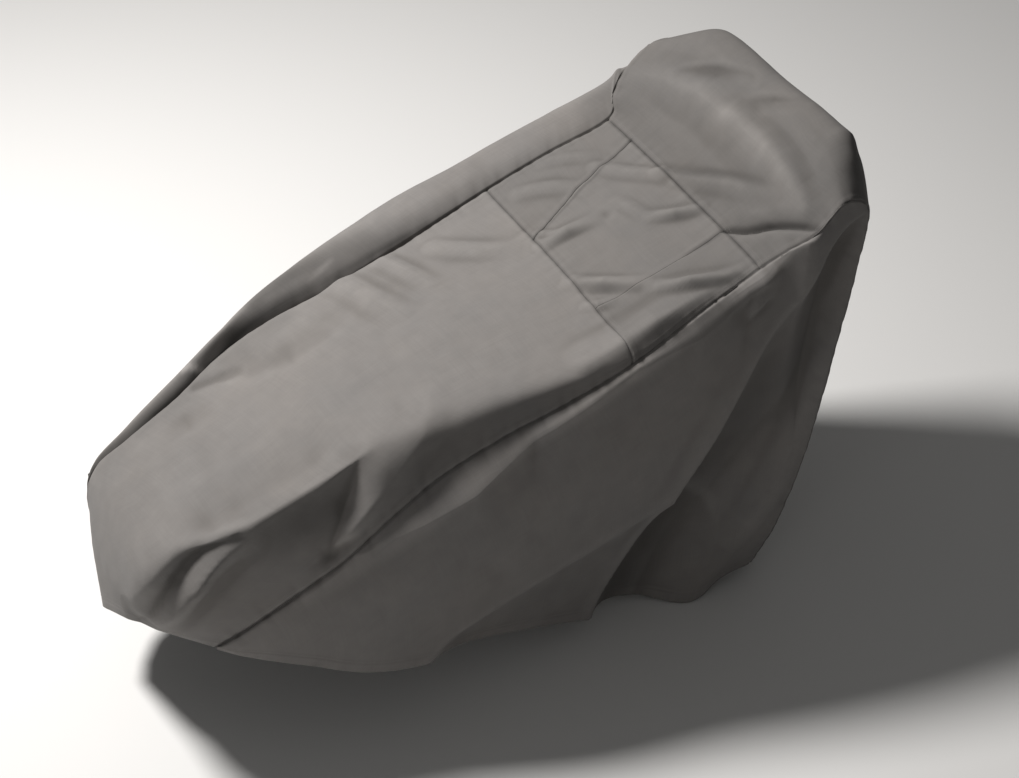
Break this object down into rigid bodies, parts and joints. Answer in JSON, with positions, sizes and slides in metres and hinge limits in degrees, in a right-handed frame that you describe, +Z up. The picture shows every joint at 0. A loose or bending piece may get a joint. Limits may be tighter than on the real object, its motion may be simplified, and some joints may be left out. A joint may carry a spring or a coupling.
{
  "type": "boat lift cover",
  "caption": "Fitted canvas cover that hangs over a boat lift: a long sloping ramp, a seamed chest and a tall rounded head with a closed back, hollow and open underneath.",
  "frame": {"origin": "under the cloth of the head's top, on the middle line, where the covered lift carries the cover", "axes": "+X from the nose to the back, +Y to the cover's left, +Z up"},
  "size_m": [1.4011, 0.7187, 0.9795],
  "materials": {
    "canvas": "matte taupe-grey woven marine canvas"
  },
  "bodies": {
    "root": {"ramp_panel": "canvas", "chest_panel": "canvas", "chest_strip_left": "canvas", "chest_strip_right": "canvas", "head_panel": "canvas", "side_panel_left": "canvas", "side_panel_right": "canvas"}
  },
  "joints": []
}
